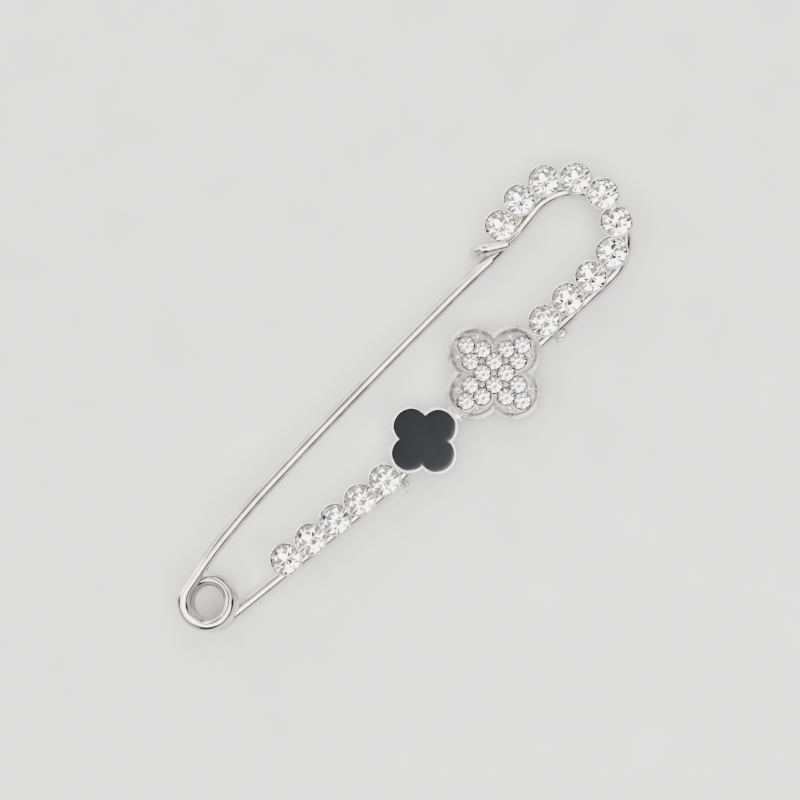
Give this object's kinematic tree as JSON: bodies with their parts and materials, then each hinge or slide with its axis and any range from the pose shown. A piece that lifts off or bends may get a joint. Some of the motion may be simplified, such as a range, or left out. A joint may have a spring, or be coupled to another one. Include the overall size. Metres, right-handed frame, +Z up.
{
  "type": "kilt-pin brooch",
  "caption": "Safety-pin style kilt brooch: sprung wire needle on a coil, folded catch, rows of cup-set stones and two clover trays.",
  "frame": {"origin": "coil's axis, on the floor that the brooch lies on with its back down", "axes": "+X along the brooch from the coil to the crook, +Y from the decorated frame to the needle, +Z up through the front"},
  "size_m": [0.077, 0.0223, 0.0062],
  "materials": {
    "plated_metal": "bright rhodium-like plating, polished",
    "crystal": "clear foil-backed glass, faceted",
    "small_crystal": "clear foil-backed glass, faceted",
    "enamel": "smooth black cold enamel"
  },
  "bodies": {
    "frame": {"soldered_frame": "plated_metal", "enamel": "enamel", "crystal_01": "crystal", "crystal_02": "crystal", "crystal_03": "crystal", "crystal_04": "crystal", "crystal_05": "crystal", "crystal_06": "crystal", "crystal_07": "crystal", "crystal_08": "crystal", "crystal_09": "crystal", "crystal_10": "crystal", "crystal_11": "crystal", "crystal_12": "crystal", "crystal_13": "crystal", "crystal_14": "crystal", "crystal_15": "crystal", "pave_crystal_01": "small_crystal", "pave_crystal_02": "small_crystal", "pave_crystal_03": "small_crystal", "pave_crystal_04": "small_crystal", "pave_crystal_05": "small_crystal", "pave_crystal_06": "small_crystal", "pave_crystal_07": "small_crystal", "pave_crystal_08": "small_crystal", "pave_crystal_09": "small_crystal", "pave_crystal_10": "small_crystal", "pave_crystal_11": "small_crystal", "pave_crystal_12": "small_crystal", "pave_crystal_13": "small_crystal", "pave_crystal_14": "small_crystal", "pave_crystal_15": "small_crystal", "pave_crystal_16": "small_crystal"},
    "needle": {"needle": "plated_metal"}
  },
  "joints": [
    {"name": "needle_press", "type": "hinge", "parent": "frame", "child": "needle", "pos_m": [0, 0, 0], "axis": [0, 0, 1], "range_deg": [-3.4, 0], "stiffness_Nm_per_rad": 1}
  ]
}
